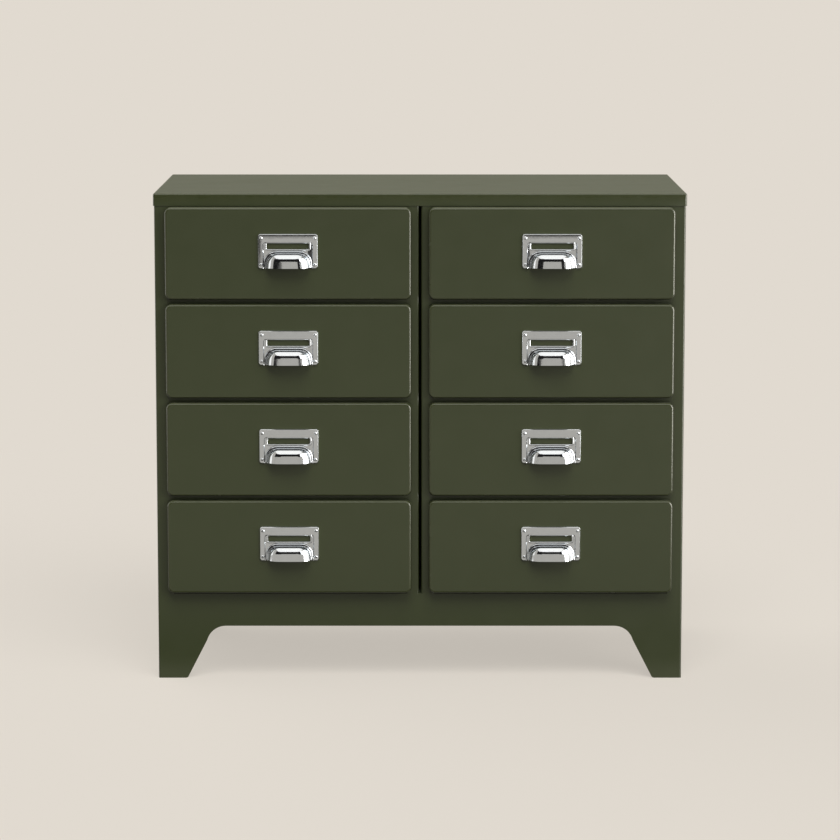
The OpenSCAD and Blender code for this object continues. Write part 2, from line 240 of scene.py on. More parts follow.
def close_material(
    tree: bpy.types.NodeTree, settings: dict, colour: Socket, roughness: Socket, normal: Socket
) -> None:
    """Ends a material with its shader and its output.

    Args:
        tree: The node tree.
        settings: The shader's even values.
        colour: The base colour.
        roughness: The roughness.
        normal: The normal.
    """
    links = {"Base Color": colour, "Roughness": roughness, "Normal": normal}
    shader = add_node(tree, "ShaderNodeBsdfPrincipled", settings, links)
    add_node(tree, "ShaderNodeOutputMaterial", links={"Surface": shader.outputs[0]})


@dataclass(frozen=True, kw_only=True)
class Finish:
    """What all finishes share: two shades and a roughness that drift in soft clouds."""

    name: str
    colour: str
    shade: str
    roughness: float
    spread: float
    cloud_mm: float
    cloud_detail: float
    cloud_range: Point = (0.3, 0.7)  # nearly all of a noise texture lies between these two

    def clouds(self, tree: bpy.types.NodeTree, place: Socket) -> tuple[Socket, Socket]:
        """Mixes the shades and varies the roughness in soft clouds.

        Args:
            tree: The node tree.
            place: The coordinates that the clouds lie in.

        Returns:
            The colour and the roughness.
        """
        cloud = add_node(
            tree,
            "ShaderNodeTexNoise",
            {"Scale": 1 / (self.cloud_mm * MM), "Detail": self.cloud_detail},
            {"Vector": place},
        ).outputs["Fac"]
        colour = add_node(
            tree,
            "ShaderNodeMix",
            {"data_type": "RGBA", 6: srgb(self.colour), 7: srgb(self.shade)},
            {0: cloud},
        )
        rough = add_node(
            tree,
            "ShaderNodeMapRange",
            {
                "From Min": self.cloud_range[0],
                "From Max": self.cloud_range[1],
                "To Min": self.roughness - self.spread,
                "To Max": self.roughness + self.spread,
            },
            {"Value": cloud},
        )
        return colour.outputs[2], rough.outputs[0]


@dataclass(frozen=True, kw_only=True)
class PowderCoat(Finish):
    """Polyester powder coat, sprayed dry and baked on sheet steel.

    It gives the eye a satin skin with the faint orange peel of the melted powder, which breaks up
    the edge of each reflection, and a slightly lighter film on the folds, which is partly a
    thinner film where a fold is rubbed and partly a painted highlight.
    """

    rubbed_and_highlight: str
    roughness: float = 0.38
    spread: float = 0.02
    ior: float = 1.5
    cloud_mm: float = 35.0  # patches of a slightly thicker film
    cloud_detail: float = 4.0
    peel_mm: float = 2.2  # real orange peel is about 1 mm, drawn twice as coarse so that it shows
    peel_depth_mm: float = 0.012
    wave_mm: float = 90.0  # slow buckle of thin sheet between its folds
    wave_depth_mm: float = 0.15
    scuff_and_highlight_mm: float = 6.0  # the lighter film on a fold, partly wear and partly a painted highlight, lies in spots of this size
    polish: float = 0.12  # and smoother from handling
    upward: float = 0.85  # a face counts as level from this share of straight up
    dulling: float = 0.34  # a top surface is duller from wiping
    dust: str = "#b5b2a8"
    dust_share: float = 0.012
    drift_mm: float = 120.0  # dust lies in drifts of this size

    def material(self) -> bpy.types.Material:
        """Builds the coat's node material.

        Returns:
            The material.
        """
        material, tree = new_material(self.name)
        place = add_node(tree, "ShaderNodeTexCoord").outputs["Object"]
        normal = add_node(tree, "ShaderNodeNewGeometry").outputs["Normal"]
        upward = add_node(tree, "ShaderNodeSeparateXYZ", links={0: normal}).outputs["Z"]
        settled, dulled = (
            add_node(
                tree,
                "ShaderNodeMapRange",
                {"From Min": self.upward, "From Max": 1.0, "To Max": most},
                {"Value": upward},
            ).outputs[0]
            for most in (self.dust_share, self.dulling)
        )
        # the fold mask lightens the colour, partly as wear and partly as a painted highlight, and
        # smooths the film
        rub_and_highlight = add_node(tree, "ShaderNodeAttribute", {"attribute_name": "rub_and_highlight"}).outputs["Fac"]
        tint, film = self.clouds(tree, place)
        # the folds take a lighter colour: partly a worn film, partly a painted highlight along the
        # rolled edges
        worn_and_highlight = patched(tree, place, tint, self.rubbed_and_highlight, self.scuff_and_highlight_mm, detail=6.0, share=rub_and_highlight)
        colour = patched(tree, place, worn_and_highlight, self.dust, self.drift_mm, detail=3.0, share=settled)
        links = {0: film, 1: dulled}
        flat = add_node(tree, "ShaderNodeMath", {"operation": "ADD"}, links).outputs[0]
        settings = {"operation": "MULTIPLY_ADD", 1: -self.polish}
        roughness = add_node(tree, "ShaderNodeMath", settings, {0: rub_and_highlight, 2: flat}).outputs[0]
        buckle = relief(tree, place, self.wave_mm, self.wave_depth_mm, detail=1.0)
        skin = relief(tree, place, self.peel_mm, self.peel_depth_mm, detail=1.5, under=buckle)
        close_material(tree, {"IOR": self.ior, "Metallic": 0.0}, colour, roughness, skin)
        return material


@dataclass(frozen=True, kw_only=True)
class PlatedMetal(Finish):
    """A bright metal plated on stamped or rolled steel.

    It gives the eye a clear mirror that is a little soft, with the fine lines of the die or the
    mill and the haze of handling.
    """

    cloud_mm: float = 9.0  # the haze comes and goes over this distance
    cloud_detail: float = 5.0
    grain_mm: float
    grain_depth_mm: float
    stretch: float = 1.0  # below 1, the grain is drawn out along Z

    def material(self) -> bpy.types.Material:
        """Builds the plating's node material.

        Returns:
            The material.
        """
        material, tree = new_material(self.name)
        place = add_node(tree, "ShaderNodeTexCoord").outputs["Object"]
        stretched = {"Scale": (1.0, 1.0, self.stretch)}
        drawn = add_node(tree, "ShaderNodeMapping", stretched, {"Vector": place}).outputs[0]
        skin = relief(tree, drawn, self.grain_mm, self.grain_depth_mm, detail=2.0)
        close_material(tree, {"Metallic": 1.0}, *self.clouds(tree, place), skin)
        return material


@dataclass(frozen=True, kw_only=True)
class MouldedPolymer(Finish):
    """Nylon or rubber, moulded in one colour.

    It gives the eye an even, soft shade with the fine texture of the mould.
    """

    ior: float
    spread: float = 0.06
    cloud_mm: float = 8.0  # the shade drifts a little over this distance
    cloud_detail: float = 3.0
    cloud_range: Point = (0.0, 1.0)
    texture_mm: float
    texture_depth_mm: float = 0.03

    def material(self) -> bpy.types.Material:
        """Builds the polymer's node material.

        Returns:
            The material.
        """
        material, tree = new_material(self.name)
        place = add_node(tree, "ShaderNodeTexCoord").outputs["Object"]
        skin = relief(tree, place, self.texture_mm, self.texture_depth_mm, detail=2.0)
        close_material(tree, {"IOR": self.ior}, *self.clouds(tree, place), skin)
        return material


def make_finishes() -> dict[Slot, bpy.types.Material]:
    """Builds every material once.

    Returns:
        The material that fills each slot of the record.
    """
    # baked powder: a dark olive under a satin veil, with lighter folds that are partly wear and
    # partly a painted highlight
    coat = PowderCoat(
        name="olive_powder_coat", colour="#30371c", shade="#33391e", rubbed_and_highlight="#3d4127"
    )
    # bright nickel under a flash of chrome: a cool, nearly neutral mirror
    chrome = PlatedMetal(
        name="bright_chrome_plate",
        colour="#c0c5c9",
        shade="#b7bcc0",
        roughness=0.08,
        spread=0.02,
        grain_mm=0.9,
        grain_depth_mm=0.003,
    )
    # plain zinc: a matt grey with fine upright lines
    zinc = PlatedMetal(
        name="zinc_plated_steel",
        colour="#b9bcbb",
        shade="#a3a7a8",
        roughness=0.34,
        spread=0.06,
        grain_mm=0.7,
        grain_depth_mm=0.01,
        stretch=0.1,
    )
    # unfilled nylon: a warm white that looks a little waxy
    nylon = MouldedPolymer(
        name="moulded_nylon",
        colour="#dedcd3",
        shade="#d3d0c5",
        roughness=0.45,
        ior=1.53,
        texture_mm=0.8,
    )
    # black rubber: a deep grey with hardly any shine
    rubber = MouldedPolymer(
        name="moulded_rubber",
        colour="#1d1d1c",
        shade="#262624",
        roughness=0.7,
        ior=1.52,
        texture_mm=0.6,
    )
    finishes = {
        Slot.OLIVE_PAINT: coat,
        Slot.BRIGHT_NICKEL: chrome,
        Slot.ZINC_STEEL: zinc,
        Slot.NYLON: nylon,
        Slot.RUBBER: rubber,
    }
    return {slot: finish.material() for slot, finish in finishes.items()}


# ---------------------------------------------------------------------------- outlines and meshes


def arc(centre: Point, radius: float, start: float, end: float, steps: int) -> list[Point]:
    """Returns the points of an arc.

    Args:
        centre: The middle of the arc.
        radius: Its radius.
        start: The angle where it starts, in degrees.
        end: The angle where it ends, in degrees.
        steps: The number of chords.

    Returns:
        The arc's points, one more than the chords.
    """
    angles = [math.radians(start + (end - start) * i / steps) for i in range(steps + 1)]
    return [(centre[0] + radius * math.cos(a), centre[1] + radius * math.sin(a)) for a in angles]


@dataclass(frozen=True)
class RoundedOutline:
    """A rectangle with round corners, drawn about its middle."""

    half_width: float
    half_height: float
    corner: float
    steps: int = 10

    def ring(self, inset: float = 0.0) -> list[Point]:
        """Returns the outline drawn smaller by an inset, with the same number of points.

        Args:
            inset: How far each side moves in.

        Returns:
            The points, counter-clockwise from the right-hand side.
        """
        width = self.half_width - inset
        height = self.half_height - inset
        radius = max(self.corner - inset, LEAST_CORNER)
        points: list[Point] = []
        for across, up, start in ((1, 1, 0), (-1, 1, 90), (-1, -1, 180), (1, -1, 270)):
            centre = (across * (width - radius), up * (height - radius))
            points += arc(centre, radius, start, start + 90, self.steps)
        return points


class Draft:
    """A mesh being drawn, made of rings of points joined by faces."""

    def __init__(self, name: str) -> None:
        """Starts an empty mesh.

        Args:
            name: The name of the piece that it becomes.
        """
        self.name = name
        self.mesh = bmesh.new()
        # the fold mask: wear, a painted highlight in the coat's colour, and a smoother film
        self.rub_and_highlight = self.mesh.verts.layers.float.new("rub_and_highlight")

    def ring(self, points: Sequence[Vector], rub_and_highlight: float = 0.0) -> Ring:
        """Adds points, each with the given share of the fold mask, which marks wear and a painted
        highlight.

        Args:
            points: Where they lie.
            rub_and_highlight: From 0 on a flat to 1 on a fold that hands and cloths rub and that
                takes a painted highlight.

        Returns:
            The new vertices.
        """
        verts = [self.mesh.verts.new(point) for point in points]
        for vert in verts:
            vert[self.rub_and_highlight] = rub_and_highlight
        return verts

    def cap(self, ring: Ring) -> None:
        """Closes a flat ring with one face."""
        self.mesh.faces.new(ring)

    def loft(self, rings: Sequence[Ring]) -> None:
        """Joins rings of the same length, each to the next, with four-sided faces.

        Args:
            rings: The rings, in order.
        """
        for first, second in zip(rings, rings[1:]):
            for i in range(len(first)):
                j = (i + 1) % len(first)
                self.mesh.faces.new((first[i], first[j], second[j], second[i]))

    def solid(self, rings: Sequence[Ring]) -> None:
        """Joins rings in order and closes both ends.

        Args:
            rings: The rings, from one end to the other.
        """
        self.loft(rings)
        self.cap(rings[0])
        self.cap(rings[-1])

    def object(self, material: bpy.types.Material, sharp: float = SHARP) -> bpy.types.Object:
        """Turns the draft to an object in the scene.

        Args:
            material: Its finish.
            sharp: Edges that turn by more than this many degrees are shaded as sharp.

        Returns:
            The new object, at the origin.
        """
        bmesh.ops.recalc_face_normals(self.mesh, faces=self.mesh.faces)
        data = bpy.data.meshes.new(self.name)
        self.mesh.to_mesh(data)
        self.mesh.free()
        return mesh_object(self.name, data, material, sharp)


def mesh_object(
    name: str, data: bpy.types.Mesh, material: bpy.types.Material, sharp: float = SHARP
) -> bpy.types.Object:
    """Puts a mesh in the scene, shaded smooth up to an angle.

    Args:
        name: The object's name.
        data: Its mesh.
        material: Its finish.
        sharp: The angle in degrees above which an edge is sharp.

    Returns:
        The new object.
    """
    data.materials.clear()
    data.materials.append(material)
    data.shade_smooth()
    data.set_sharp_from_angle(angle=math.radians(sharp))
    piece = bpy.data.objects.new(name, data)
    bpy.context.scene.collection.objects.link(piece)
    return piece


def combined(
    base: bpy.types.Object, tools: Sequence[tuple[Crossing, bpy.types.Object]]
) -> bpy.types.Mesh:
    """Crosses solids with a base solid, and removes them all.

    Args:
        base: The solid to start from.
        tools: What each solid does to it, and the solid, in order.

    Returns:
        The resulting mesh.
    """
    for crossing, tool in tools:
        step = base.modifiers.new("step", "BOOLEAN")
        step.operation = crossing.value
        step.solver = "MANIFOLD"
        step.object = tool
    bpy.context.view_layer.update()
    shown = base.evaluated_get(bpy.context.evaluated_depsgraph_get())
    data = bpy.data.meshes.new_from_object(shown)
    for piece in [base, *(tool for _, tool in tools)]:
        bpy.data.objects.remove(piece)
    return data


def present(piece: bpy.types.Object, body: str, slot: Slot, node: str) -> None:
    """Hangs a piece on the body that it rides on and hides the CAD node that it stands for.

    Args:
        piece: The piece, in place.
        body: The body that it rides on.
        slot: The record's material slot; not used.
        node: The CAD node that it stands for.
    """
    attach(piece, body)
    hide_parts(node)
    LOG.info("%s rides on %s and stands for %s", piece.name, body, node)


# ---------------------------------------------------------------------------- folded pans


@dataclass(frozen=True)
class FoldedPan:
    """A pan folded from one sheet: a face, a rounded edge, walls and, if wanted, a flange."""

    outline: RoundedOutline
    depth: float
    sheet: float
    edge: float
    flange: float = 0.0
    steps: int = 6
    supports: Point = (1.2 * MM, 0.18 * MM)  # rows this far inside the edge keep the face flat
    # how much of the fold mask, for wear and a painted highlight, each fold takes
    edge_rub_and_highlight: float = 1.0
    flange_rub_and_highlight: float = 0.3

    def wall_stations(self, gap: float) -> list[tuple[float, float, float]]:
        """Returns (inset, depth, rub_and_highlight) from the face's rim to the end of the sheet.

        Args:
            gap: How far inside the outer skin the stations lie: 0 or the sheet's thickness.

        Returns:
            The stations of one skin.
        """
        radius = self.edge - gap
        middle = self.edge
        rub_and_highlight = self.edge_rub_and_highlight if gap == 0 else 0.0
        rows = [(middle + support, gap, 0.0) for support in self.supports]
        rows += [(x, y, rub_and_highlight) for x, y in arc((middle, middle), radius, 270, 180, self.steps)]
        if self.flange > 0:
            bend = arc((middle, self.depth - middle), radius, 180, 90, self.steps)
            rows += [(x, y, self.flange_rub_and_highlight) for x, y in bend]
            rows.append((self.flange, self.depth - gap, 0.0))
        else:
            rows.append((gap, self.depth, 0.0))
        return rows

    def draw(self, draft: Draft, place: Place) -> None:
        """Draws the pan.

        Args:
            draft: The mesh to draw in.
            place: Turns (across, up, depth) to a point.
        """
        ends = []
        for gap in (0.0, self.sheet):
            rings = []
            for inset, depth, rub_and_highlight in self.wall_stations(gap):
                points = [place(x, y, depth) for x, y in self.outline.ring(inset)]
                rings.append(draft.ring(points, rub_and_highlight))
            draft.loft(rings)
            draft.cap(rings[0])
            ends.append(rings[-1])
        draft.loft(ends)


@dataclass
class TopCap:
    """The cap: a shallow pan upside down over the carcass."""

    material: bpy.types.Material
    sheet: float = 1.0 * MM
    edge: float = 2.4 * MM
    corner_steps: int = 6

    def build(self) -> None:
        """Draws the cap and presents it."""
        low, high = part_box("top_panel")
        middle = (low + high) / 2
        half = (high - low) / 2
        outline = RoundedOutline(half.x, half.y, self.edge + LEAST_CORNER, self.corner_steps)
        draft = Draft("top_cap")
        FoldedPan(outline, high.z - low.z, self.sheet, self.edge).draw(
            draft, lambda x, y, depth: Vector((middle.x + x, middle.y + y, high.z - depth))
        )
        present(draft.object(self.material), CARCASS, Slot.OLIVE_PAINT, "top_panel")


@dataclass
class DrawerFront:
    """A drawer front: a pan folded with rolled edges, round corners and a flange behind."""

    side: Side
    row: int
    material: bpy.types.Material
    sheet: float = 0.8 * MM
    edge: float = 3.0 * MM
    corner: float = 8.0 * MM
    flange: float = 22.0 * MM

    def build(self) -> None:
        """Draws the front and presents it."""
        body = drawer_body(self.side, self.row)
        low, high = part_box(f"{body}_front")
        middle = (low + high) / 2
        half = (high - low) / 2
        outline = RoundedOutline(half.x, half.z, self.corner)
        draft = Draft(f"{body}_folded_front")
        FoldedPan(outline, high.y - low.y, self.sheet, self.edge, self.flange).draw(
            draft, lambda x, y, depth: Vector((middle.x + x, low.y + depth, middle.z + y))
        )
        present(draft.object(self.material), body, Slot.OLIVE_PAINT, f"{body}_front")


@dataclass
class Rail:
    """A rail across one column: a channel open to the back, dressed flush with the stiles."""

    low: Vector
    high: Vector
    sheet: float = 1.0 * MM
    edge: float = 2.0 * MM
    edge_steps: int = 5
    stile_round: float = 2.5 * MM
    tab: float = 0.9 * MM  # a tab is a little thinner than the sheet

    def section(self, gap: float) -> list[Point]:
        """Returns (y, z) of one skin of the channel, from its lower return to its upper one.

        Args:
            gap: How far inside the outer skin the points lie.

        Returns:
            The section's points.
        """
        low, high, edge = self.low, self.high, self.edge
        radius = edge - gap
        lower = arc((low.y + edge, low.z + edge), radius, 270, 180, self.edge_steps)
        upper = arc((low.y + edge, high.z - edge), radius, 180, 90, self.edge_steps)
        return [(high.y, low.z + gap), *lower, *upper, (high.y, high.z - gap)]

    def draw(self, draft: Draft) -> None:
        """Draws the channel and the tabs that fill the rounded edges of the stiles.

        Args:
            draft: The mesh to draw in.
        """
        left, right = self.low.x, self.high.x
        section = [*self.section(0.0), *reversed(self.section(self.sheet))]
        ends = [draft.ring([Vector((x, y, z)) for y, z in section]) for x in (left, right)]
        draft.loft(ends)
        for end in ends:
            for i in range(len(section) // 2 - 1):
                draft.mesh.faces.new((end[i], end[i + 1], end[-i - 2], end[-i - 1]))
        self.draw_tab(draft, left - self.stile_round, left)
        self.draw_tab(draft, right, right + self.stile_round)

    def draw_tab(self, draft: Draft, start: float, end: float) -> None:
        """Draws one tab as a thin block.

        Args:
            draft: The mesh to draw in.
            start: Its lower X.
            end: Its upper X.
        """
        low, high = self.low.z + self.edge, self.high.z - self.edge
        corners = ((start, low), (end, low), (end, high), (start, high))
        depths = (self.low.y, self.low.y + self.tab)
        draft.solid([draft.ring([Vector((x, y, z)) for x, z in corners]) for y in depths])


@dataclass
class FaceFrame:
    """The rails of both columns."""

    material: bpy.types.Material
    rail_lap: float = 6.5 * MM

    def build(self) -> None:
        """Draws all the rails and presents them."""
        for side in Side:
            self.build_cross_rails(side)
        for node in ("head_rails", "sill_rails"):
            self.build_end_rails(node)

    def build_cross_rails(self, side: Side) -> None:
        """Draws the rails behind the gaps between the drawers of one column.

        Args:
            side: The column.
        """
        node = f"{side.value}_cross_rails"
        low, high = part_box(node)
        draft = Draft(f"{side.value}_flush_cross_rails")
        for upper, lower in zip(ROWS, ROWS[1:]):
            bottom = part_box(f"{drawer_body(side, lower)}_front")[1].z - self.rail_lap
            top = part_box(f"{drawer_body(side, upper)}_front")[0].z + self.rail_lap
            Rail(Vector((low.x, low.y, bottom)), Vector((high.x, high.y, top))).draw(draft)
        present(draft.object(self.material), CARCASS, Slot.OLIVE_PAINT, node)

    def build_end_rails(self, node: str) -> None:
        """Draws the two rails above the top drawers, or the two below the bottom ones.

        Args:
            node: The CAD node of both rails.
        """
        low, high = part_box(node)
        draft = Draft(f"flush_{node}")
        for side in Side:
            left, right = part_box(f"{side.value}_cross_rails")
            Rail(Vector((left.x, low.y, low.z)), Vector((right.x, high.y, high.z))).draw(draft)
        present(draft.object(self.material), CARCASS, Slot.OLIVE_PAINT, node)


# ---------------------------------------------------------------------------- handles


@dataclass
class HandlePart:
    """What is drawn once for a handle, and of which each drawer shows a copy.

    It is drawn about the middle of the plate's back, with X across, Y up and Z out of the drawer.
    """

    material: bpy.types.Material
    suffix: ClassVar[str]
    node: ClassVar[str]
    sharp: ClassVar[float]

    def place(self, data: bpy.types.Mesh, side: Side, row: int) -> None:
        """Puts a copy on a drawer's handle.

        Args:
            data: The part's mesh.
            side: The drawer's column.
            row: The drawer's row, from the top.
        """
        body = drawer_body(side, row)
        low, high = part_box(f"{body}_handle")
        piece = mesh_object(f"{body}_{self.suffix}", data, self.material, self.sharp)
        middle = Vector(((low.x + high.x) / 2, high.y, (low.z + high.z) / 2))
        piece.matrix_world = Matrix.Translation(middle) @ Matrix.Rotation(math.radians(90), 4, "X")
        present(piece, body, Slot.BRIGHT_NICKEL, f"{body}_{self.node}")


@dataclass(frozen=True)
class CupStation:
    """One level of the cup: how far out it is, its half width, its top and its corner radius."""

    out: float
    half: float
    top: float
    corner: float


@dataclass
class CupHandle(HandlePart):
    """A handle stamped from one plate: a raised border, a label window with a bead, and a cup."""

    suffix = "cup_handle"
    node = "handle"
    sharp = 38.0
    half_width: float = 39.25 * MM
    half_height: float = 22.8 * MM
    corner: float = 3.4 * MM
    border: float = 2.9 * MM
    shoulder: float = 1.3 * MM
    bevel: float = 0.4 * MM
    crown: float = 0.08 * MM
    crown_ease: float = 0.015 * MM
    crown_end: float = 6.8 * MM
    web: float = 0.8 * MM
    dish: float = 0.42 * MM
    recess_half: float = 32.6 * MM
    recess_top: float = 11.8 * MM
    recess_corner: float = 3.2 * MM
    recess_drop: float = 60.0 * MM  # it runs out past the lower edge of the plate
    window_half: float = 27.9 * MM
    window_bottom: float = 2.8 * MM
    window_top: float = 10.6 * MM
    window_corner: float = 1.6 * MM
    bead: float = 2.3 * MM
    bead_foot: float = 0.2 * MM
    bead_rise: float = 2.85 * MM
    bead_corner: float = 3.0 * MM
    bead_flank: float = 0.35  # the share of the bead's width that its round outer flank takes
    lip: float = 0.9 * MM
    slot_depth: float = 1.35 * MM
    slot_margin: float = 1.5 * MM
    slot_corner: float = 1.2 * MM
    overrun: float = 1.0 * MM  # a cut goes this far past the face that it opens
    cup_bottom: float = -21.5 * MM
    flare: float = 0.9 * MM
    cup_corner: float = 0.8 * MM  # the least corner of the cup's inside
    shell: float = 1.0 * MM
    arc_steps: int = 10

    def stations(self) -> list[CupStation]:
        """Returns the levels of the cup, from the plate outwards.

        Returns:
            The levels.
        """
        # in millimetres: how far out, half width, top and corner radius
        bead = (
            (0.4, 32.0, 0.5, 17.0),
            (1.5, 31.9, 0.4, 16.9),
            (2.2, 31.4, 0.0, 16.6),
            (2.5, 30.7, -0.6, 16.1),
        )
        crease = (
            (2.2, 30.0, -1.2, 15.6),
            (1.8, 29.4, -1.8, 15.1),
            (1.9, 28.9, -2.3, 14.7),
            (2.4, 28.4, -2.7, 14.3),
            (3.2, 28.0, -2.9, 14.0),
        )
        steep_wall = (
            (5.0, 27.5, -3.1, 13.6),
            (8.0, 26.9, -3.3, 13.1),
            (10.0, 26.5, -3.45, 12.7),
            (10.7, 26.1, -3.5, 12.3),
        )
        slope = (
            (14.0, 22.3, -3.75, 9.8),
            (14.4, 21.8, -4.1, 9.4),
            (15.3, 20.5, -5.1, 8.2),
            (16.1, 19.2, -6.05, 7.0),
            (16.9, 17.7, -7.0, 5.6),
        )
        flat_face = (
            (17.8, 15.2, -8.4, 4.2),
            (18.3, 12.9, -10.0, 3.0),
            (18.5, 10.3, -11.4, 2.2),
        )
        levels = (*bead, *crease, *steep_wall, *slope, *flat_face)
        return [CupStation(*(value * MM for value in level)) for level in levels]

    def cup_outline(self, station: CupStation, shrink: float) -> list[Point]:
        """Returns the cup's outline at one level, round at the two upper corners.

        Args:
            station: The level.
            shrink: How far the outline is drawn smaller.

        Returns:
            The points, counter-clockwise from the lower right.
        """
        half = station.half - shrink
        top = station.top - shrink
        # the inside runs out past the open bottom
        bottom = self.cup_bottom - (2 * self.overrun if shrink > 0 else 0.0)
        radius = max(station.corner - shrink, self.cup_corner)
        points: list[Point] = [(half + self.flare, bottom)]
        points += arc((half - radius, top - radius), radius, 0, 90, self.arc_steps)
        points += arc((radius - half, top - radius), radius, 90, 180, self.arc_steps)
        return [*points, (-half - self.flare, bottom)]

    def cup_solid(self, shrink: float) -> bpy.types.Object:
        """Draws the cup as a solid, or its inside if it is drawn smaller.

        Args:
            shrink: The thickness of the shell, or 0 for the outside.

        Returns:
            The solid.
        """
        draft = Draft("cup")
        rings = []
        for i, station in enumerate(self.stations()):
            out = station.out - (shrink if i > 0 else 2 * shrink)
            points = [Vector((x, y, out)) for x, y in self.cup_outline(station, shrink)]
            rings.append(draft.ring(points))
        draft.solid(rings)
        return draft.object(self.material)

    def slab(
        self, name: str, outline: RoundedOutline, middle: float, levels: Sequence[Point]
    ) -> bpy.types.Object:
        """Draws a closed solid as levels of one outline.

        Args:
            name: The solid's name.
            outline: The outline at an inset of 0.
            middle: How high its middle lies on the plate.
            levels: (inset, out) of each level.

        Returns:
            The solid.
        """
        draft = Draft(name)
        rings = []
        for inset, out in levels:
            points = [Vector((x, middle + y, out)) for x, y in outline.ring(inset)]
            rings.append(draft.ring(points))
        draft.solid(rings)
        return draft.object(self.material)

    def plate(self) -> bpy.types.Mesh:
        """Draws the plate with its raised border and recess.

        Returns:
            The plate's mesh.
        """
        round_over = arc((self.shoulder, 0.0), self.shoulder, 180, 135, 3)
        end = round_over[-1]
        flat = self.border - self.crown
        rise = flat - self.bevel - end[1]
        rim = end[0] + self.bevel
        outline = RoundedOutline(self.half_width, self.half_height, self.corner)
        # the side, the round shoulder, a small bevel and a face with a slight crown
        border = [
            (0.0, 0.0),
            *((x, rise + y) for x, y in round_over),
            (rim, flat),
            (rim + 0.3 * MM, flat + self.crown_ease),
            (self.crown_end - 0.6 * MM, self.border - self.crown_ease),
            (self.crown_end, self.border),
        ]
        half_drop = self.recess_drop / 2
        cut_outline = RoundedOutline(self.recess_half, half_drop, self.recess_corner)
        foot = self.web + self.dish
        # the dished web, a round foot, a steep wall and a softened rim
        cut = [
            (6.0 * MM, self.web),
            (0.9 * MM, foot),
            (0.45 * MM, foot + 0.1 * MM),
            (0.2 * MM, foot + 0.4 * MM),
            (0.0, self.border - 0.4 * MM),
            (-0.15 * MM, self.border - 0.12 * MM),
            (-0.5 * MM, self.border + 0.01 * MM),
            (-0.5 * MM, self.border + self.overrun),
        ]
        block = self.slab("plate", outline, 0.0, border)
        recess = self.slab("recess", cut_outline, self.recess_top - half_drop, cut)
        return combined(block, [(Crossing.CUT, recess)])

    def build_mesh(self) -> bpy.types.Mesh:
        """Draws the whole handle.

        Returns:
            The mesh that the eight handles share.
        """
        base = mesh_object("handle_base", self.plate(), self.material)
        middle = (self.window_bottom + self.window_top) / 2
        wide = self.window_half
        tall = (self.window_top - self.window_bottom) / 2
        bead_outline = RoundedOutline(
            wide + self.bead, tall + self.bead, self.bead_corner, self.arc_steps
        )
        flank = self.bead_flank * self.bead
        crest = arc((flank, 0.0), flank, 180, 90, 4)
        lip = arc((self.bead - self.lip, -self.lip), self.lip, 90, 10, 6)
        bead_levels = [
            (0.0, self.bead_foot),
            *((x, self.bead_rise - flank + y) for x, y in crest),
            *((x, self.bead_rise + y) for x, y in lip),
            (self.bead, self.bead_rise - self.lip),
        ]
        window_outline = RoundedOutline(wide, tall, self.window_corner, self.arc_steps)
        window_levels = [(0.0, -self.overrun), (0.0, self.border + 2 * self.overrun)]
        card_outline = RoundedOutline(
            wide + self.slot_margin, tall + self.slot_margin, self.slot_corner
        )
        card_levels = [(0.0, -self.overrun), (0.0, self.slot_depth)]
        data = combined(
            base,
            [
                (Crossing.JOIN, self.slab("bead", bead_outline, middle, bead_levels)),
                (Crossing.JOIN, self.cup_solid(0.0)),
                (Crossing.CUT, self.slab("window", window_outline, middle, window_levels)),
                (Crossing.CUT, self.slab("card_slot", card_outline, middle, card_levels)),
                (Crossing.CUT, self.cup_solid(self.shell)),
            ],
        )
        data.name = "cup_handle"
        return data


@dataclass
class HandleRivets(HandlePart):
    """The four domed rivets of each handle, with their shanks and clenched tails."""

    suffix = "domed_rivets"
    node = "rivets"
    sharp = 40.0
    spread_x: float = 35.2 * MM
    spread_y: float = 17.5 * MM
    head: float = 2.2 * MM
    undercut: float = 0.1 * MM
    rise: float = 1.2 * MM
    seat: float = 2.8 * MM
    shank: float = 1.2 * MM
    back: float = -0.8 * MM
    tail: float = 1.0 * MM
    tail_bevel: float = 0.3 * MM
    steps: int = 20

    def profile(self) -> list[Point]:
        """Returns (radius, out) of a rivet, from the side of its dome to its tail.

        Returns:
            The profile's points, without the tip of the dome.
        """
        bulge = (self.head**2 + self.rise**2) / (2 * self.rise)
        centre = self.seat + self.rise - bulge
        lean = math.degrees(math.asin(self.head / bulge))
        dome = arc((0.0, centre), bulge, 90, 90 - lean, 6)[1:]
        end = self.back - self.tail
        return [
            *dome,
            (self.head - self.undercut, self.seat),
            (self.shank, self.seat),
            (self.shank, self.back),
            (self.head, self.back),
            (self.head, end + self.tail_bevel),
            (self.head - self.tail_bevel, end),
        ]

    def build_mesh(self) -> bpy.types.Mesh:
        """Draws the four rivets of one handle.

        Returns:
            The mesh that the eight handles share.
        """
        draft = Draft("handle_rivets")
        for x in (-self.spread_x, self.spread_x):
            for y in (-self.spread_y, self.spread_y):
                self.draw_rivet(draft, x, y)
        piece = draft.object(self.material, self.sharp)
        data = piece.data
        bpy.data.objects.remove(piece)
        return data

    def draw_rivet(self, draft: Draft, x: float, y: float) -> None:
        """Draws one rivet.

        Args:
            draft: The mesh to draw in.
            x: How far across the plate it is.
            y: How far up the plate it is.
        """
        rings = []
        for radius, out in self.profile():
            circle = arc((x, y), radius, 0, 360 - 360 / self.steps, self.steps - 1)
            rings.append(draft.ring([Vector((a, b, out)) for a, b in circle]))
        draft.loft(rings)
        tip = draft.ring([Vector((x, y, self.seat + self.rise))])[0]
        for i, vert in enumerate(rings[0]):
            draft.mesh.faces.new((vert, rings[0][(i + 1) % self.steps], tip))
        draft.cap(rings[-1])


# ---------------------------------------------------------------------------- carried-over nodes


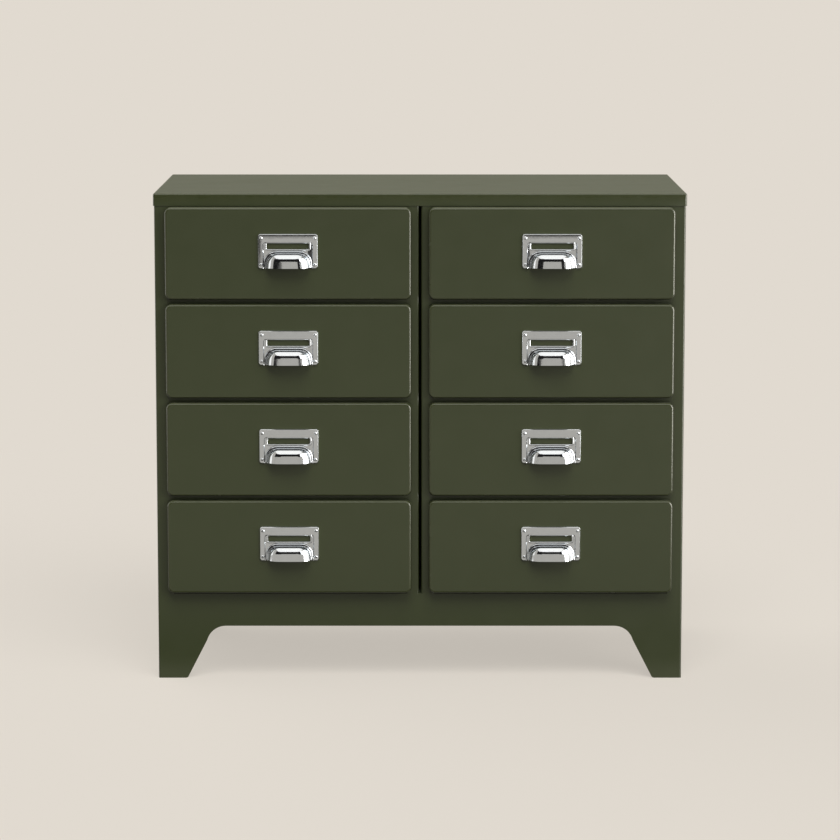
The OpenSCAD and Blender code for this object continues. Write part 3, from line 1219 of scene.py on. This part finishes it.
def dress_carried_nodes(finishes: dict[Slot, bpy.types.Material]) -> None:
    """Gives each CAD node that still shows the material of its slot.

    Args:
        finishes: The material of each slot.
    """
    slots = {part["node"]: Slot(part["material_slot"]) for part in frame["record"]["subparts"]}
    for name, node in frame["nodes"].items():
        if node.hide_render:
            continue
        node.data.materials.clear()
        node.data.materials.append(finishes[slots[name]])
        LOG.info("%s keeps its own mesh and takes %s", name, slots[name].value)


# ---------------------------------------------------------------------------- studio


def glowing(name: str, strength: float) -> bpy.types.Material:
    """Makes a plain glowing material for a studio card.

    Args:
        name: The material's name.
        strength: Its radiance, where 1 is white.

    Returns:
        The material.
    """
    material, tree = new_material(name)
    glow = add_node(tree, "ShaderNodeEmission", {"Color": srgb(CARD_WHITE), "Strength": strength})
    add_node(tree, "ShaderNodeOutputMaterial", links={"Surface": glow.outputs[0]})
    return material


def add_card(name: str, corners: Sequence[Vector], glow: float) -> None:
    """Puts a card in the scene that only glossy rays see.

    Args:
        name: The card's name.
        corners: Its four corners.
        glow: Its radiance, where 1 is white.
    """
    draft = Draft(name)
    draft.cap(draft.ring(corners))
    card = draft.object(glowing(name, glow))
    card.visible_camera = False
    card.visible_diffuse = False
    card.visible_shadow = False
    card.visible_transmission = False
    card.visible_volume_scatter = False


@dataclass(frozen=True)
class Card:
    """A studio card or black flag that stands on edge.

    Its azimuth is counted from straight in front towards the right.
    """

    name: str
    azimuth: float
    distance: float
    width: float
    low: float
    high: float
    glow: float

    def build(self) -> None:
        """Puts the card in the scene, facing the middle of the floor."""
        turn = Matrix.Rotation(math.radians(self.azimuth), 3, "Z")
        half = self.width / 2
        corners = ((-half, self.low), (half, self.low), (half, self.high), (-half, self.high))
        add_card(self.name, [turn @ Vector((x, -self.distance, z)) for x, z in corners], self.glow)


@dataclass(frozen=True)
class LevelCard:
    """A studio card or black flag that lies level."""

    name: str
    height: float
    middle: Point
    half: Point
    glow: float

    def build(self) -> None:
        """Puts the card in the scene."""
        (x, y), (across, deep) = self.middle, self.half
        corners = [Vector((x + a * across, y + b * deep, self.height)) for a, b in SQUARE]
        add_card(self.name, corners, self.glow)


@dataclass(frozen=True)
class Lamp:
    """A soft distant lamp."""

    name: str
    towards: tuple[float, float, float]
    strength: float
    angle: float
    glossy: bool = True

    def build(self) -> None:
        """Puts the lamp in the scene."""
        light = bpy.data.lights.new(self.name, "SUN")
        light.energy = self.strength
        light.angle = math.radians(self.angle)
        lamp = bpy.data.objects.new(self.name, light)
        lamp.rotation_euler = Vector(self.towards).to_track_quat("Z", "Y").to_euler()
        lamp.visible_glossy = self.glossy
        bpy.context.scene.collection.objects.link(lamp)

    def on_floor(self) -> float:
        """Returns how bright it makes a white floor, where 1 is white."""
        return self.strength * Vector(self.towards).normalized().z / math.pi


def seen_directly(tree: bpy.types.NodeTree) -> Socket:
    """Tells the rays that show a surface from those that only light others.

    Args:
        tree: The node tree.

    Returns:
        An output that is 1 for camera, glossy and transmission rays.
    """
    path = add_node(tree, "ShaderNodeLightPath")
    seen = path.outputs["Is Camera Ray"]
    for kind in ("Is Glossy Ray", "Is Transmission Ray"):
        links = {0: seen, 1: path.outputs[kind]}
        seen = add_node(tree, "ShaderNodeMath", {"operation": "MAXIMUM"}, links).outputs[0]
    return seen


@dataclass
class Studio:
    """The pale floor, the light and the camera."""

    backdrop: str = "#e1dad0"
    bounce: str = "#5c5a56"
    floor_half: float = 80.0
    lit_share: float = 0.28  # the share of the floor's look that the lamps light and shadow
    shadow_reach: float = 0.9  # past this the floor fades to an even glow
    shadow_end: float = 2.0
    fill: float = 0.18
    fill_colour: Colour = (1.0, 0.985, 0.96, 1.0)
    camera_distance: float = 4.5
    camera_height: float = 0.996
    camera_reach: float = 200.0
    pitch: float = 8.18
    lens: float = 146.89
    # flags in front keep the satin fronts from showing the pale room, and the cards line the folds
    cards: Sequence[Card | LevelCard] = (
        Card("flag_behind_camera", 0.0, 6.0, width=6.0, low=0.35, high=5.6, glow=BLACK_FLAG),
        Card("flag_left_front", -31.0, 5.0, width=4.4, low=0.0, high=4.6, glow=BLACK_FLAG),
        Card("flag_right_front", 24.0, 5.0, width=1.9, low=0.0, high=4.6, glow=BLACK_FLAG),
        Card("card_left", -105.0, 2.4, width=3.0, low=0.0, high=2.6, glow=1.8),
        Card("card_right", 66.0, 1.9, width=1.0, low=0.0, high=1.5, glow=13.0),
        LevelCard("card_above", 3.2, middle=(0.0, -1.2), half=(2.4, 2.4), glow=1.8),
        LevelCard("flag_on_floor", 0.004, (0.0, -0.34), half=(1.2, 0.12), glow=BLACK_FLAG),
    )
    lamps: Sequence[Lamp] = (
        Lamp("key_lamp", towards=(0.75, -0.65, 0.25), strength=1.65, angle=40),
        Lamp("top_lamp", towards=(0.05, -0.7, 1.0), strength=2.35, angle=40),
        Lamp("back_lamp", towards=(-0.8, 0.65, 0.5), strength=1.3, angle=70, glossy=False),
    )

    def floor(self) -> None:
        """Lays the floor, which glows in the backdrop's colour and still takes a soft shadow."""
        draft = Draft("floor")
        half = self.floor_half
        draft.cap(draft.ring([Vector((x * half, y * half, 0.0)) for x, y in SQUARE]))
        material, tree = new_material("seamless_paper")
        colour = srgb(self.backdrop)
        level = self.fill + sum(lamp.on_floor() for lamp in self.lamps)
        near_strength = (1 - self.lit_share * level) / (1 - self.lit_share)
        glow = add_node(tree, "ShaderNodeEmission", {"Color": colour, "Strength": 1.0})
        near = add_node(tree, "ShaderNodeEmission", {"Color": colour, "Strength": near_strength})
        paper = add_node(tree, "ShaderNodeBsdfDiffuse", {"Color": colour})
        mixed = add_node(
            tree,
            "ShaderNodeMixShader",
            {0: self.lit_share},
            {1: near.outputs[0], 2: paper.outputs[0]},
        )
        place = add_node(tree, "ShaderNodeTexCoord").outputs["Object"]
        reach = add_node(tree, "ShaderNodeVectorMath", {"operation": "LENGTH"}, {0: place})
        far = add_node(
            tree,
            "ShaderNodeMapRange",
            {
                "From Min": self.shadow_reach,
                "From Max": self.shadow_end,
                "interpolation_type": "SMOOTHSTEP",
            },
            {"Value": reach.outputs["Value"]},
        )
        seen = add_node(
            tree,
            "ShaderNodeMixShader",
            links={0: far.outputs[0], 1: mixed.outputs[0], 2: glow.outputs[0]},
        )
        bounce = add_node(tree, "ShaderNodeBsdfDiffuse", {"Color": srgb(self.bounce)})
        whole = add_node(
            tree,
            "ShaderNodeMixShader",
            links={0: seen_directly(tree), 1: bounce.outputs[0], 2: seen.outputs[0]},
        )
        add_node(tree, "ShaderNodeOutputMaterial", links={"Surface": whole.outputs[0]})
        draft.object(material)

    def world(self) -> None:
        """Sets the even light from all round, and the backdrop that rays past the floor see."""
        world = bpy.data.worlds.new("studio")
        bpy.context.scene.world = world
        world.use_nodes = True
        tree = world.node_tree
        tree.nodes.clear()
        fill = add_node(
            tree, "ShaderNodeBackground", {"Color": self.fill_colour, "Strength": self.fill}
        )
        seen = add_node(
            tree, "ShaderNodeBackground", {"Color": srgb(self.backdrop), "Strength": 1.0}
        )
        mixed = add_node(
            tree,
            "ShaderNodeMixShader",
            links={0: seen_directly(tree), 1: fill.outputs[0], 2: seen.outputs[0]},
        )
        add_node(tree, "ShaderNodeOutputWorld", links={"Surface": mixed.outputs[0]})

    def camera(self) -> None:
        """Sets the camera in front of the cabinet, pitched down."""
        view = bpy.data.cameras.new("camera")
        view.lens = self.lens
        view.clip_end = self.camera_reach
        camera = bpy.data.objects.new("camera", view)
        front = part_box("front_plinth")[0].y
        camera.location = (0.0, front - self.camera_distance, self.camera_height)
        camera.rotation_euler = (math.radians(90 - self.pitch), 0.0, 0.0)
        bpy.context.scene.collection.objects.link(camera)
        bpy.context.scene.camera = camera

    def build(self) -> None:
        """Builds the whole studio."""
        self.camera()
        self.floor()
        self.world()
        for item in (*self.cards, *self.lamps):
            item.build()
        bpy.context.scene.view_settings.view_transform = "Standard"


def main() -> None:
    """Builds the studio and the cabinet's looks, in order."""
    logging.basicConfig(level=logging.INFO, format="%(message)s")
    finishes = make_finishes()
    coat = finishes[Slot.OLIVE_PAINT]
    chrome = finishes[Slot.BRIGHT_NICKEL]
    Studio().build()
    TopCap(coat).build()
    FaceFrame(coat).build()
    handle = CupHandle(chrome)
    handle_mesh = handle.build_mesh()
    rivets = HandleRivets(chrome)
    rivet_mesh = rivets.build_mesh()
    for side in Side:
        for row in ROWS:
            DrawerFront(side, row, coat).build()
            handle.place(handle_mesh, side, row)
            rivets.place(rivet_mesh, side, row)
    dress_carried_nodes(finishes)


if __name__ == "__main__":
    main()
